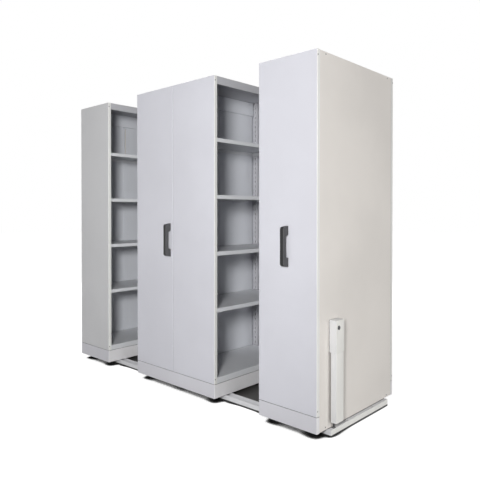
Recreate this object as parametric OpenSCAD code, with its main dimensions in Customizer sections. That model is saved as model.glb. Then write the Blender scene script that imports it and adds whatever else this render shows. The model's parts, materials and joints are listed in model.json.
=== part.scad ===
// Compact mobile shelving: a fixed unit and two rolling carriages on a low base frame.
// The row runs along X, the handles face -Y and Z is up.
// The origin is on the floor, in the middle of the outer box.

/* [Row] */
// Height from the floor to the top panels
overall_h = 2200; // [2050:50:2600]
// Size of one shelf bay along the rails
bay_w = 430; // [360:10:600]
// Length of a unit across the rails
unit_l = 900; // [700:50:1200]
// Open aisle between the fixed unit and the double carriage
aisle_left = 400; // [200:10:800]
// Open aisle between the double and the single carriage
aisle_right = 390; // [200:10:800]
// Aisle that the buffers leave when two units are pushed together
closed_gap = 15; // [10:1:30]

/* [Base frame] */
// Height of the base frame
track_h = 42; // [38:1:60]
// Outer width of a track channel
track_w = 58; // [54:1:80]
// Wall of the tracks and of the end members
track_t = 3; // [2:0.5:4]
// Setback of the tracks from the front and rear faces of the units
track_inset = 110; // [90:5:160]
// Reach of the base frame beyond the last carriage
base_over = 22; // [20:1:60]
// Width of an end member
end_w = 40; // [36:1:60]
// Width of the running bar
bar_w = 16; // [12:1:18]
// Height of the running bar
bar_h = 14; // [10:1:16]
// Thickness of the floor panel between the tracks
deck_t = 6; // [3:1:12]
// Distance between the two floor anchor holes
anchor_spacing = 300; // [200:10:400]
// Radius of a floor anchor hole
anchor_r = 5.5; // [4:0.5:7]

/* [Plinths] */
// Running gap between the base frame and the skirts
ride_gap = 2; // [1:0.5:4]
// Height of a plinth
plinth_h = 96; // [92:1:130]
// Sheet of the plinths
plinth_t = 2; // [1.5:0.5:3]
// Shadow gap between a plinth and the body above it
joint_gap = 2.5; // [0.5:0.5:4]
// How far the front fascia wraps round an open side
fascia_wrap = 62; // [52:1:90]
// Plate of the wheel beams
beam_t = 3; // [2:0.5:5]

/* [Running gear] */
// Running radius of a wheel
wheel_r = 50; // [46:1:52]
// Height of a wheel's flanges
flange_h = 5; // [3:1:6]
// Thickness of a wheel's flange
flange_t = 4; // [3:0.5:5]
// Radius of an axle
axle_r = 10; // [8:0.5:12]
// Distance from a carriage's side to its nearer axle
axle_inset = 90; // [80:5:110]
// Radius of a bearing's hub
bearing_r = 17; // [15:0.5:18]
// Radius of a buffer
buffer_r = 15; // [10:1:20]

/* [Sheet metal] */
// Sheet of the panels
sheet = 1.2; // [0.8:0.1:2]
// Depth of the folded front and rear panels
panel_d = 26; // [20:1:40]
// Outer radius of the panels' vertical folds
fold_r = 4; // [2.5:0.5:8]
// Width of the returns behind a panel and under a top panel's lip
panel_return = 14; // [10:1:20]
// Seam between the two panels of the double carriage
seam = 1.5; // [1:0.5:4]
// Depth of the lip of a top panel
top_lip = 53; // [40:1:80]
// Height of the rail behind the top compartment
rail_h = 109; // [80:1:140]
// Depth of that rail
rail_d = 12; // [8:1:16]
// Depth of a folded side cover
cover_d = 15; // [12:1:16]
// Height of the open joint between the back sheets above the top shelf
window_h = 290; // [100:10:300]
// Width of that joint
window_w = 12; // [4:1:20]
// Width of the strip that covers the joint elsewhere
strip_w = 40; // [24:1:60]

/* [Posts] */
// Width of a slotted post
post_w = 30; // [24:1:40]
// Depth of a slotted post
post_d = 22; // [16:1:30]
// Sheet of the posts
post_t = 1.5; // [1:0.5:2.5]
// Distance from the back of a bay to its rear posts
post_back = 30; // [26:1:40]
// Distance from the open side of a bay to its front posts
post_front = 34; // [30:1:50]
// Distance between slots
slot_pitch = 38.1; // [32:0.1:39]
// Width of a slot
slot_w = 9; // [3:0.5:12]
// Height of a slot
slot_h = 20; // [8:1:24]

/* [Shelves] */
// Shelves above the base shelf
shelf_count = 4; // [2:1:4]
// Height of the first shelf above the top of the base shelf
first_rise = 466; // [300:1:500]
// Slots from shelf to shelf
shelf_steps = 10; // [8:1:10]
// Height of a shelf's folded lip
shelf_lip = 27; // [20:1:40]
// Height of the base shelf's lip
base_lip = 39; // [30:1:60]
// Sheet of the shelves
shelf_t = 1; // [0.8:0.1:1.5]
// Outer radius of a shelf's fold
shelf_r = 2.5; // [1.6:0.1:4]

/* [Handles] */
// Length of a handle at the panel
handle_l = 240; // [180:5:300]
// Length of its front face
handle_face = 225; // [150:5:240]
// Width of a handle
handle_w = 27; // [20:1:40]
// How far a handle stands out
handle_out = 47; // [35:1:60]
// Depth of the finger gap
finger_d = 22; // [20:1:30]
// Length of the finger gap
finger_l = 128; // [100:1:140]
// Height of a handle's centre
handle_z = 1090; // [900:10:1200]
// Distance from the centre seam to the double carriage's handle
handle_off = 37; // [25:1:80]

/* [Floor lock] */
// How far the lock housing stands out
lock_out = 48; // [46:1:60]
// Front edge of the housing, from the front face
lock_y = 125; // [110:1:128]
// Width of the housing
lock_w = 82; // [76:1:110]
// Height of the housing's top
lock_top = 670; // [600:5:760]
// Height of the key box
key_box_h = 188; // [150:1:240]
// Height of the lower cover's bottom edge
lock_low = 78; // [70:1:100]
// Gap between the lower cover and the side cover
lock_gap = 9; // [6:1:12]
// Sheet of the housing
lock_t = 1.5; // [1:0.5:2]
// Radius of the floor bolt
bolt_r = 6; // [4:0.5:6]
// Travel of the floor bolt
bolt_travel = 22; // [16:1:24]
// Radius of the lock cylinder
key_r = 9; // [7:0.5:10]
// How far the cylinder's head stands out
key_proud = 2.5; // [1:0.5:4]

/* [Hidden] */
$fn = 48;

// Radial play of a fit, gap between bodies, and gap between the pieces of one group
fit = 0.05;
clear = 0.3;
seat = 0.1;

// Every panel screw's radius, the height of its head and the length of its shank
screw_r = 2;
screw_head = 1.5;
screw_l = 9;

// Places along the row, from the fixed unit's closed side
double_x = bay_w + aisle_left;
single_x = double_x + 2 * bay_w + aisle_right;
row_end = single_x + bay_w;
base_end = row_end + base_over;
outer_x = row_end + lock_out + key_proud;

// The row is moved so that the origin is under the middle of its outer box
shift = [(screw_head - outer_x) / 2, (handle_out - unit_l) / 2, 0];

// Heights
unit_z = track_h + ride_gap;
body_z = unit_z + plinth_h;
plinth_top = body_z - joint_gap;
base_shelf_z = body_z + base_lip;
shelf_1 = base_shelf_z + first_rise;
shelf_pitch = shelf_steps * slot_pitch;
shelf_tops = [for (i = [0:shelf_count - 1]) shelf_1 + i * shelf_pitch];
top_shelf = shelf_tops[shelf_count - 1];
under_top = overall_h - sheet;
rail_z = overall_h - rail_h;

// Places across the row
track_y = track_inset + track_w / 2;
track_ys = [track_y, unit_l - track_y];
bay_y0 = panel_d + post_d;
bay_y1 = unit_l - bay_y0;

// Places in a bay, whose closed back is at x = 0 and whose open side is at x = bay_w
back_single = 20;
back_double = 10;
post_xs = [post_back, bay_w - post_front - post_w];
shelf_x1 = bay_w - 1.5;
ear_x0 = bay_w - post_front + 3;
shelf_gap = 2;
skirt_in = cover_d + 1;

// Running gear
bar_top = track_t + bar_h;
axle_z = bar_top + clear + wheel_r;
groove_w = bar_w + 2;
wheel_w = groove_w + 2 * flange_t;
beam_y = wheel_w / 2 + 5;
bearing_flange_t = 5;
axle_end = 5;
axle_over = beam_y + beam_t + bearing_flange_t + axle_end;
wheel_rim = 9;
wheel_hub = 8;
wheel_holes = 5;
wheel_hole_r = 6;
wheel_dish = 10;

// A wheel stop reaches up to the flanges of the last wheels
stop_gap = 1.2;
stop_side = 6;
stop_l = axle_inset - sqrt(pow(wheel_r + flange_h, 2) - pow(axle_z - track_h, 2))
    + base_over - end_w - stop_gap;

// Levelling screws of a track
level_count = 5;
level_r = 5;
level_in = 120;
level_h = 6;

// Least height of the strip left above the open joint
strip_end = 12;

// Clips
clip_side = 4;
clip_t = 1.5;
clip_h = 14;
clip_foot = 2;
clip_reach = 12;
hook_half = 2;
hook_in = 8;

// Floor lock
lock_x = row_end;
bolt_x = row_end + base_over / 2;
bolt_y = track_y + bar_w / 2 + (track_w / 2 - track_t - bar_w / 2) / 2;
bolt_rest = unit_z + 2;
key_in = 24;
key_drop = 42;
key_y = lock_y + key_in;
key_z = lock_top - key_drop;
crank_r = bolt_travel / sqrt(2);
crank_in = crank_r * cos(45);
pin_r = 3;
yoke_x = 8;
yoke_t = 4;
yoke_half = 6;
yoke_reach = 19;
yoke_lap = 20;
yoke_wall = 9;
rod_drop = 12;
cam_t = 4;
cam_r = 7;
crank_half = 5;
pin_play = 0.7;
key_rim = 3;
key_slot = [6, 2, 9];
key_slot_in = 4;
key_box_z = lock_top - key_box_h;
lock_tab = 16;
lock_screw_in = 20;
lower_in = 3;
lower_set = 2;
foot_in = 20;

// One flat block between two corners
module block(a, b) {
    translate(a) cube(b - a);
}

// A rectangle whose two corners on the y = 0 side are round
module fold_outline(w, d, r) {
    translate([r, 0]) square([w - 2 * r, d]);
    translate([0, r]) square([w, d - r]);
    for (x = [r, w - r]) translate([x, r]) circle(r);
}

// The section of a folded pan: a face at y = 0, two sides and optional returns at their ends
module pan_section(w, d, t, r, back) {
    difference() {
        fold_outline(w, d, r);
        translate([t, t]) fold_outline(w - 2 * t, d, r - t);
    }
    if (back > 0) {
        translate([0.5 * t, d - t]) square([back, t]);
        translate([w - 0.5 * t - back, d - t]) square([back, t]);
    }
}

// An upright pan, closed at both ends
module upright_pan(w, d, z0, z1, t, r, back) {
    translate([0, 0, z0]) linear_extrude(z1 - z0) pan_section(w, d, t, r, back);
    for (z = [z0, z1 - t]) translate([0, 0, z]) linear_extrude(t) fold_outline(w, d, r);
}

// A pan that faces up and runs along Y, with lips that hang h deep
module lying_pan(w, l, h, t, r) {
    rotate([-90, 0, 0]) linear_extrude(l) pan_section(w, h, t, r, 0);
}

// Places a bay so that its open side faces +X or, turned round, -X
module bay_right(x) {
    translate([x, 0, 0]) children();
}

module bay_left(x) {
    translate([x, 0, 0]) mirror([1, 0, 0]) children();
}

// What stands at the front stands at the rear too, as a mirror image
module both_ends() {
    children();
    translate([0, unit_l, 0]) mirror([0, 1, 0]) children();
}

// Screws
panel_screw_y = 8;
panel_screw_zs = [body_z + 32, overall_h - 31];
cover_screw_zs = [unit_z + 16, overall_h - 14];
cover_screw_y = 85;

// Screw axes of a bay's open edges, at x, pointing out along +X
module open_edge_places(x) {
    for (z = panel_screw_zs) translate([x, panel_screw_y, z]) rotate([0, 90, 0]) children();
}

// Screw axes of a closed side at x = 0, pointing out along -X
module closed_side_places() {
    for (z = panel_screw_zs) translate([0, panel_screw_y, z]) rotate([0, -90, 0]) children();
    for (z = cover_screw_zs) translate([0, cover_screw_y, z]) rotate([0, -90, 0]) children();
}

module screw() {
    cylinder(r = 2 * screw_r, h = screw_head);
    translate([0, 0, -screw_l]) cylinder(r = screw_r, h = screw_l + 1);
}

module screw_hole() {
    translate([0, 0, -screw_l - 1]) cylinder(r = screw_r + fit, h = screw_l + 3);
}

// Panels

// An end panel of one bay's width, with the holes of its edge screws at the edges that have them
module end_panel(w, left = true, right = true) {
    difference() {
        upright_pan(w, panel_d, body_z, overall_h, sheet, fold_r, panel_return);
        if (right) open_edge_places(w) screw_hole();
        if (left) mirror([1, 0, 0]) open_edge_places(0) screw_hole();
    }
}

// The top of a unit of width w, with a deep lip at each side
module top_panel(w) {
    l = unit_l - 2 * panel_d;
    translate([0, panel_d, overall_h]) lying_pan(w, l, top_lip, sheet, fold_r);
    for (x = [sheet / 2, w - sheet / 2 - panel_return])
        block([x, panel_d, overall_h - top_lip],
            [x + panel_return, unit_l - panel_d, overall_h - top_lip + sheet]);
}

// A single unit's top has its deep lip on the open side alone
module single_top() {
    l = unit_l - 2 * panel_d;
    difference() {
        top_panel(bay_w);
        block([-1, 0, 0], [2 * panel_return, unit_l, under_top]);
    }
}

// The folded cover of a closed side
module side_cover() {
    w = unit_l - 2 * panel_d - 2 * clear;
    difference() {
        translate([0, unit_l - panel_d - clear, 0]) rotate([0, 0, -90])
            upright_pan(w, cover_d, unit_z + 2, under_top, sheet, 2, 0);
        both_ends() closed_side_places() screw_hole();
    }
}

// One bay's back: two folded sheets, a cover strip over their joint and the rail at the top
module back_panels(face, depth) {
    z0 = body_z + clear;
    half = (bay_y1 - bay_y0 - window_w) / 2;
    strip_z = min(top_shelf + window_h, rail_z - strip_end);
    for (y = [bay_y0, bay_y1 - half])
        translate([face, y, 0]) rotate([0, 0, 90])
            upright_pan(half, depth, z0, under_top, sheet, 1.6, 0);
    for (z = [[z0, top_shelf - shelf_lip - 4], [strip_z, rail_z - 1]])
        block([face + seat, (unit_l - strip_w) / 2, z[0]],
            [face + seat + sheet, (unit_l + strip_w) / 2, z[1]]);
    translate([face + seat, bay_y0, rail_z]) difference() {
        cube([rail_d, bay_y1 - bay_y0, rail_h - sheet]);
        translate([-1, sheet, sheet]) cube([rail_d - sheet + 1, bay_y1 - bay_y0 - 2 * sheet, rail_h]);
    }
}

// Posts

module post() {
    h = under_top - plinth_top;
    n = floor((h - 60) / slot_pitch);
    // slots are counted from the first shelf, so that its clips meet one
    first = (shelf_1 - shelf_lip - plinth_top) % slot_pitch + slot_pitch;
    difference() {
        linear_extrude(h) difference() {
            square([post_w, post_d]);
            translate([post_t, -1]) square([post_w - 2 * post_t, post_d + 1 - post_t]);
        }
        for (i = [0:n - 1])
            translate([(post_w - slot_w) / 2, post_d - post_t - 1, first + i * slot_pitch])
                cube([slot_w, post_t + 2, slot_h]);
    }
}

module bay_posts() {
    for (x = post_xs) both_ends() translate([x, panel_d, plinth_top]) post();
}

// Shelves

// A shelf tray with ears that reach past the front posts; top at z = 0
module tray(x0, lip) {
    y0 = bay_y0 + shelf_gap;
    w = shelf_x1 - x0;
    translate([x0, y0, 0]) lying_pan(w, unit_l - 2 * y0, lip, shelf_t, shelf_r);
    block([shelf_x1 - 14, panel_d + clear, -lip], [shelf_x1, unit_l - panel_d - clear, -lip + shelf_t]);
    both_ends() {
        block([x0, y0, -lip], [ear_x0 + 1, y0 + shelf_t, -0.4]);
        translate([ear_x0, panel_d + clear, 0])
            lying_pan(shelf_x1 - ear_x0, y0 - panel_d + 1, lip, shelf_t, shelf_r);
        block([ear_x0 + 0.5, panel_d + clear, -lip], [shelf_x1 - 0.5, panel_d + clear + shelf_t, -0.4]);
    }
}

module bay_shelves(x0) {
    for (z = shelf_tops) translate([0, 0, z]) tray(x0, shelf_lip);
}

module bay_base_shelf(x0) {
    translate([0, 0, base_shelf_z]) tray(x0, base_lip);
}

// A clip hooks into a post's slot and carries the shelf's end on its tab
module clip() {
    x0 = clip_side;
    x1 = post_w - clip_side;
    mid = post_w / 2;
    block([x0, post_d, -clip_foot], [x1, post_d + clip_t, clip_h]);
    block([x0, post_d, -clip_foot], [x1, post_d + clip_reach, 0]);
    block([mid - hook_half, post_d - hook_in, clip_foot],
        [mid + hook_half, post_d + clip_t / 3, clip_h - 4]);
}

module bay_clips() {
    for (z = shelf_tops, x = post_xs)
        both_ends() translate([x, panel_d, z - shelf_lip]) clip();
}

// Plinths

// A fascia wraps round its two corners, and left and right are the lengths of its returns
module fascia(w, z0, left, right) {
    translate([0, 0, z0]) linear_extrude(plinth_top - z0) {
        intersection() {
            difference() {
                fold_outline(w, fascia_wrap, fold_r);
                translate([plinth_t, plinth_t])
                    fold_outline(w - 2 * plinth_t, fascia_wrap, fold_r - plinth_t);
            }
            union() {
                square([w / 2, left]);
                translate([w / 2, 0]) square([w / 2, right]);
            }
        }
    }
    block([plinth_t / 2, plinth_t / 2, plinth_top - plinth_t], [w - plinth_t / 2, panel_d, plinth_top]);
}

// A welded plinth of width w, from z0 up; a closed side's skirt stands back behind its cover
module plinth(w, z0, closed_left, closed_right) {
    left_x = closed_left ? skirt_in : 1;
    right_x = closed_right ? w - skirt_in : w - 1;
    left_wrap = closed_left ? panel_d : fascia_wrap;
    right_wrap = closed_right ? panel_d : fascia_wrap;
    both_ends() {
        fascia(w, z0, left_wrap, right_wrap);
        block([left_x, panel_d - 1, plinth_top - plinth_t], [right_x, bay_y0 + 4, plinth_top]);
    }
    block([left_x, bay_y0, z0], [left_x + plinth_t, unit_l - bay_y0, plinth_top]);
    block([right_x - plinth_t, bay_y0, z0], [right_x, unit_l - bay_y0, plinth_top]);
    for (x = [left_x, right_x - 20])
        block([x, bay_y0, plinth_top - plinth_t], [x + 20, unit_l - bay_y0, plinth_top]);
    for (y = track_ys, side = [-1, 1])
        block([left_x + 1, y + side * (beam_y + beam_t / 2) - beam_t / 2, z0 + 2],
            [right_x - 1, y + side * (beam_y + beam_t / 2) + beam_t / 2, body_z]);
}

// A rolling chassis is a plinth whose beams hold the bearings
module chassis(w, closed_left, closed_right) {
    difference() {
        plinth(w, unit_z, closed_left, closed_right);
        for (x = [axle_inset, w - axle_inset], y = track_ys)
            translate([x, y, axle_z]) rotate([90, 0, 0])
                cylinder(r = bearing_r + fit, h = 2 * (beam_y + beam_t) + 2, center = true);
    }
}

// Running gear

// A flanged bearing, hub towards the wheel at y = 0, on the +Y side
module bearing() {
    rotate([-90, 0, 0]) difference() {
        union() {
            translate([0, 0, beam_y]) cylinder(r = bearing_r, h = beam_t + 1);
            translate([0, 0, beam_y + beam_t]) cylinder(r = bearing_r + 5, h = bearing_flange_t);
        }
        cylinder(r = axle_r + fit, h = axle_over);
    }
}

module bearings(w) {
    for (x = [axle_inset, w - axle_inset], y = track_ys)
        translate([x, y, axle_z]) {
            bearing();
            mirror([0, 1, 0]) bearing();
        }
}

module axle() {
    translate([0, track_ys[0] - axle_over, axle_z]) rotate([-90, 0, 0])
        cylinder(r = axle_r, h = track_ys[1] - track_ys[0] + 2 * axle_over);
}

// A wheel grooved for the running bar, with dished sides and lightening holes
module wheel() {
    rotate([90, 0, 0]) difference() {
        union() {
            cylinder(r = wheel_r, h = wheel_w, center = true);
            for (side = [-1, 1])
                translate([0, 0, side * (wheel_w - flange_t) / 2])
                    cylinder(r = wheel_r + flange_h, h = flange_t, center = true);
        }
        cylinder(r = axle_r + 0.02, h = wheel_w + 2, center = true);
        for (side = [-1, 1]) translate([0, 0, side * wheel_w / 2]) difference() {
            cylinder(r = wheel_r - wheel_rim, h = wheel_dish, center = true);
            cylinder(r = axle_r + wheel_hub, h = wheel_dish + 2, center = true);
        }
        for (i = [0:wheel_holes - 1]) rotate([0, 0, (i + 0.25) * 360 / wheel_holes])
            translate([(wheel_r - wheel_rim + axle_r + wheel_hub) / 2, 0, 0])
                cylinder(r = wheel_hole_r, h = wheel_w, center = true);
    }
}

module wheel_pair() {
    for (y = track_ys) translate([0, y, axle_z]) wheel();
}

// Rubber buffers on a carriage's left skirt, in line with the tracks
module buffers() {
    for (y = track_ys) translate([1, y, unit_z + plinth_h / 2]) rotate([0, -90, 0])
        cylinder(r1 = buffer_r, r2 = buffer_r - 3, h = closed_gap + 0.5);
}

// A moulded pull handle, its centre line at x = 0
module handle() {
    out = handle_out;
    flat = handle_l / 2;
    face = handle_face / 2;
    grip = finger_l / 2;
    slope = handle_out / 6;
    translate([-handle_w / 2, 0, handle_z]) rotate([90, 0, 90]) linear_extrude(handle_w) difference() {
        polygon([[0, -flat], [0, flat], [-out + slope, face + slope / 2], [-out, face - slope / 2],
            [-out, -face + slope / 2], [-out + slope, -face - slope / 2]]);
        polygon([[1, -grip - 4], [1, grip + 4], [-finger_d, grip - 6], [-finger_d, -grip + 6]]);
    }
}

// Base frame

// A track is a channel, open upwards, with holes for its levelling screws
module track(y) {
    difference() {
        block([end_w, y - track_w / 2, 0], [base_end - end_w, y + track_w / 2, track_h]);
        block([end_w - 1, y - track_w / 2 + track_t, track_t],
            [base_end, y + track_w / 2 - track_t, track_h + 1]);
        level_places(y) cylinder(r = level_r + fit, h = 20, center = true);
    }
}

module level_places(y) {
    run = base_end - 2 * (end_w + level_in);
    off = (track_w / 2 - track_t + bar_w / 2) / 2;
    side = y < unit_l / 2 ? -1 : 1;
    for (i = [0:level_count - 1])
        translate([end_w + level_in + i * run / (level_count - 1), y + side * off, 0]) children();
}

module end_member(x) {
    difference() {
        block([x, track_inset, 0], [x + end_w, unit_l - track_inset, track_h]);
        block([x + track_t, track_inset + track_t, track_t],
            [x + end_w - track_t, unit_l - track_inset - track_t, track_h - track_t]);
    }
}

anchor_x = base_end - base_over / 2;

module anchor_holes() {
    for (side = [-1, 1])
        translate([anchor_x, unit_l / 2 + side * anchor_spacing / 2, 0]) {
            translate([0, 0, -1]) cylinder(r = anchor_r, h = track_h);
            translate([0, 0, track_h - track_t - 1])
                cylinder(r = base_over / 2 - track_t - 0.5, h = track_t + 2);
        }
}

// Nodes of the base frame

module front_track() { color([0.82, 0.82, 0.85]) translate(shift) track(track_ys[0]); }
module rear_track() { color([0.82, 0.82, 0.85]) translate(shift) track(track_ys[1]); }

module running_bars() {
    color([0.62, 0.63, 0.65]) translate(shift) for (y = track_ys)
        block([end_w, y - bar_w / 2, track_t], [base_end - end_w, y + bar_w / 2, bar_top]);
}

module end_members() {
    color([0.82, 0.82, 0.85]) translate(shift) {
        end_member(0);
        difference() {
            end_member(base_end - end_w);
            anchor_holes();
            translate([bolt_x, bolt_y, track_h]) cylinder(r = bolt_r + 0.6, h = 4 * track_t, center = true);
        }
    }
}

module floor_panel() {
    color([0.24, 0.24, 0.23]) translate(shift)
        block([end_w, track_inset + track_w, 0],
            [base_end - end_w, unit_l - track_inset - track_w, deck_t]);
}

module track_stops() {
    color([0.25, 0.25, 0.26]) translate(shift) for (y = track_ys)
        block([base_end - end_w - stop_l, y - track_w / 2 + track_t + stop_side, bar_top],
            [base_end - end_w, y + track_w / 2 - track_t - stop_side, track_h - 1]);
}

module levelling_screws() {
    color([0.7, 0.7, 0.72]) translate(shift) for (y = track_ys) level_places(y) difference() {
        cylinder(r = level_r, h = track_t + level_h);
        translate([0, 0, track_t + level_h / 3]) cylinder(r = 0.52 * level_r, h = level_h, $fn = 6);
    }
}

// The plate that the floor bolt drops into
module bolt_keeper() {
    color([0.3, 0.3, 0.31]) translate(shift) difference() {
        block([row_end + 2, bolt_y - 2 * bolt_r, track_h],
            [base_end - 2, bolt_y + 2 * bolt_r, track_h + ride_gap / 2]);
        translate([bolt_x, bolt_y, track_h]) cylinder(r = bolt_r + 0.6, h = 4 * track_t, center = true);
    }
}

// Nodes of the fixed unit, whose closed side is on the left

module fixed_plinth() {
    color([0.78, 0.78, 0.79]) translate(shift) plinth(bay_w, track_h, true, false);
}

module fixed_front_panel() { color([0.74, 0.74, 0.75]) translate(shift) end_panel(bay_w); }

module fixed_rear_panel() {
    color([0.74, 0.74, 0.75]) translate(shift) translate([0, unit_l, 0]) mirror([0, 1, 0]) end_panel(bay_w);
}

module fixed_posts() { color([0.84, 0.85, 0.84]) translate(shift) bay_posts(); }

module fixed_back_panels() {
    color([0.76, 0.76, 0.76]) translate(shift) back_panels(back_single, 4);
}

module fixed_side_cover() { color([0.82, 0.81, 0.79]) translate(shift) side_cover(); }

module fixed_top_panel() { color([0.84, 0.84, 0.85]) translate(shift) single_top(); }

module fixed_shelves() {
    color([0.86, 0.87, 0.87]) translate(shift) bay_shelves(back_single + shelf_gap);
}

module fixed_base_shelf() {
    color([0.86, 0.87, 0.87]) translate(shift) bay_base_shelf(back_single + shelf_gap);
}

module fixed_shelf_clips() { color([0.6, 0.6, 0.62]) translate(shift) bay_clips(); }

module fixed_screws() {
    color([0.35, 0.35, 0.36]) translate(shift) both_ends() {
        open_edge_places(bay_w) screw();
        closed_side_places() screw();
    }
}

// Nodes of the double carriage, whose two bays stand back to back

module in_double() {
    translate(shift) translate([double_x, 0, 0]) children();
}

module double_bays() {
    bay_right(bay_w) children();
    bay_left(bay_w) children();
}

half_w = bay_w - seam / 2;

module double_chassis() {
    color([0.78, 0.78, 0.79]) in_double() chassis(2 * bay_w, false, false);
}

module double_front_panel_left() {
    color([0.83, 0.83, 0.86]) in_double() end_panel(half_w, right = false);
}

module double_front_panel_right() {
    color([0.83, 0.83, 0.86]) in_double()
        translate([bay_w + seam / 2, 0, 0]) end_panel(half_w, left = false);
}

module double_rear_panels() {
    color([0.83, 0.83, 0.86]) in_double() translate([0, unit_l, 0]) mirror([0, 1, 0]) {
        end_panel(half_w, right = false);
        translate([bay_w + seam / 2, 0, 0]) end_panel(half_w, left = false);
    }
}

module double_posts() { color([0.84, 0.85, 0.84]) in_double() double_bays() bay_posts(); }

module double_partition() {
    color([0.76, 0.76, 0.76]) in_double() double_bays() back_panels(back_double, back_double - clear);
}

module double_top_panel() { color([0.84, 0.84, 0.85]) in_double() top_panel(2 * bay_w); }

module double_shelves_left() {
    color([0.86, 0.87, 0.87]) in_double() bay_left(bay_w) bay_shelves(back_double + shelf_gap);
}

module double_shelves_right() {
    color([0.86, 0.87, 0.87]) in_double() bay_right(bay_w) bay_shelves(back_double + shelf_gap);
}

module double_base_shelves() {
    color([0.86, 0.87, 0.87]) in_double() double_bays() bay_base_shelf(back_double + shelf_gap);
}

module double_shelf_clips() { color([0.6, 0.6, 0.62]) in_double() double_bays() bay_clips(); }

module double_screws() {
    color([0.35, 0.35, 0.36]) in_double() both_ends() double_bays() open_edge_places(bay_w) screw();
}

module double_handle() {
    color([0.2, 0.2, 0.21]) in_double() translate([bay_w - handle_off, 0, 0]) handle();
}

module double_bearings() { color([0.45, 0.46, 0.48]) in_double() bearings(2 * bay_w); }
module double_buffers() { color([0.1, 0.1, 0.1]) in_double() buffers(); }

module double_axle_left() { color([0.65, 0.66, 0.68]) in_double() translate([axle_inset, 0, 0]) axle(); }

module double_axle_right() {
    color([0.65, 0.66, 0.68]) in_double() translate([2 * bay_w - axle_inset, 0, 0]) axle();
}

module double_wheels_left() {
    color([0.5, 0.51, 0.53]) in_double() translate([axle_inset, 0, 0]) wheel_pair();
}

module double_wheels_right() {
    color([0.5, 0.51, 0.53]) in_double() translate([2 * bay_w - axle_inset, 0, 0]) wheel_pair();
}

// Nodes of the single carriage, whose closed side is on the right

module in_single() {
    translate(shift) translate([single_x, 0, 0]) children();
}

module single_bay() {
    bay_left(bay_w) children();
}

module single_chassis() { color([0.78, 0.78, 0.79]) in_single() chassis(bay_w, false, true); }
module single_front_panel() { color([0.83, 0.83, 0.86]) in_single() end_panel(bay_w); }

module single_rear_panel() {
    color([0.83, 0.83, 0.86]) in_single() translate([0, unit_l, 0]) mirror([0, 1, 0]) end_panel(bay_w);
}

module single_posts() { color([0.84, 0.85, 0.84]) in_single() single_bay() bay_posts(); }

module single_back_panels() {
    color([0.76, 0.76, 0.76]) in_single() single_bay() back_panels(back_single, 4);
}

// The cover carries the floor lock, so it has the holes of the lock's screws
module single_side_cover() {
    color([0.83, 0.82, 0.8]) in_single() difference() {
        single_bay() side_cover();
        translate([-single_x, 0, 0]) lock_screw_places() screw_hole();
    }
}

module single_top_panel() { color([0.84, 0.84, 0.85]) in_single() single_bay() single_top(); }

module single_shelves() {
    color([0.86, 0.87, 0.87]) in_single() single_bay() bay_shelves(back_single + shelf_gap);
}

module single_base_shelf() {
    color([0.86, 0.87, 0.87]) in_single() single_bay() bay_base_shelf(back_single + shelf_gap);
}

module single_shelf_clips() { color([0.6, 0.6, 0.62]) in_single() single_bay() bay_clips(); }

module single_screws() {
    color([0.35, 0.35, 0.36]) {
        in_single() single_bay() both_ends() {
            open_edge_places(bay_w) screw();
            closed_side_places() screw();
        }
        translate(shift) lock_screw_places() translate([0, 0, lock_t]) screw();
    }
}

module single_handle() { color([0.2, 0.2, 0.21]) in_single() translate([bay_w / 2, 0, 0]) handle(); }
module single_bearings() { color([0.45, 0.46, 0.48]) in_single() bearings(bay_w); }
module single_buffers() { color([0.1, 0.1, 0.1]) in_single() buffers(); }
module single_axle_left() { color([0.65, 0.66, 0.68]) in_single() translate([axle_inset, 0, 0]) axle(); }

module single_axle_right() {
    color([0.65, 0.66, 0.68]) in_single() translate([bay_w - axle_inset, 0, 0]) axle();
}

module single_wheels_left() {
    color([0.5, 0.51, 0.53]) in_single() translate([axle_inset, 0, 0]) wheel_pair();
}

module single_wheels_right() {
    color([0.5, 0.51, 0.53]) in_single() translate([bay_w - axle_inset, 0, 0]) wheel_pair();
}

// Floor lock

// The two screws of the housing's tab
module lock_screw_places() {
    y = lock_y + lock_w + lock_tab / 2;
    for (z = [key_box_z + lock_screw_in, lock_top - lock_screw_in])
        translate([lock_x, y, z]) rotate([0, 90, 0]) children();
}

// The key box, open towards the side cover, with a tab for its screws
module lock_housing() {
    out = lock_out;
    color([0.86, 0.85, 0.84]) translate(shift) difference() {
        union() {
            difference() {
                block([lock_x, lock_y, key_box_z], [lock_x + out, lock_y + lock_w, lock_top]);
                block([lock_x - 1, lock_y + lock_t, key_box_z + lock_t],
                    [lock_x + out - lock_t, lock_y + lock_w - lock_t, lock_top - lock_t]);
            }
            block([lock_x, lock_y + lock_w - 1, key_box_z],
                [lock_x + lock_t, lock_y + lock_w + lock_tab, lock_top]);
        }
        translate([bolt_x, bolt_y, key_box_z]) cylinder(r = bolt_r + fit, h = 10, center = true);
        translate([lock_x + out, key_y, key_z]) rotate([0, 90, 0])
            cylinder(r = key_r + fit, h = 10, center = true);
        lock_screw_places() screw_hole();
    }
}

// A channel over the bolt, open towards the side cover, on a foot that reaches back to it
module lock_lower_cover() {
    y0 = lock_y + lower_in;
    y1 = lock_y + lock_w - lower_in;
    x0 = lock_x + lock_gap;
    x1 = lock_x + lock_out - lower_set;
    color([0.86, 0.85, 0.84]) translate(shift) difference() {
        union() {
            difference() {
                block([x0, y0, lock_low], [x1, y1, key_box_z]);
                block([x0 - 1, y0 + lock_t, lock_low + lock_t], [x1 - lock_t, y1 - lock_t, key_box_z + 1]);
            }
            block([lock_x, y0 + foot_in, lock_low], [x0 + 2, y1 - foot_in, lock_low + lock_t]);
        }
        translate([bolt_x, bolt_y, lock_low]) cylinder(r = bolt_r + fit, h = 10, center = true);
    }
}

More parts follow.
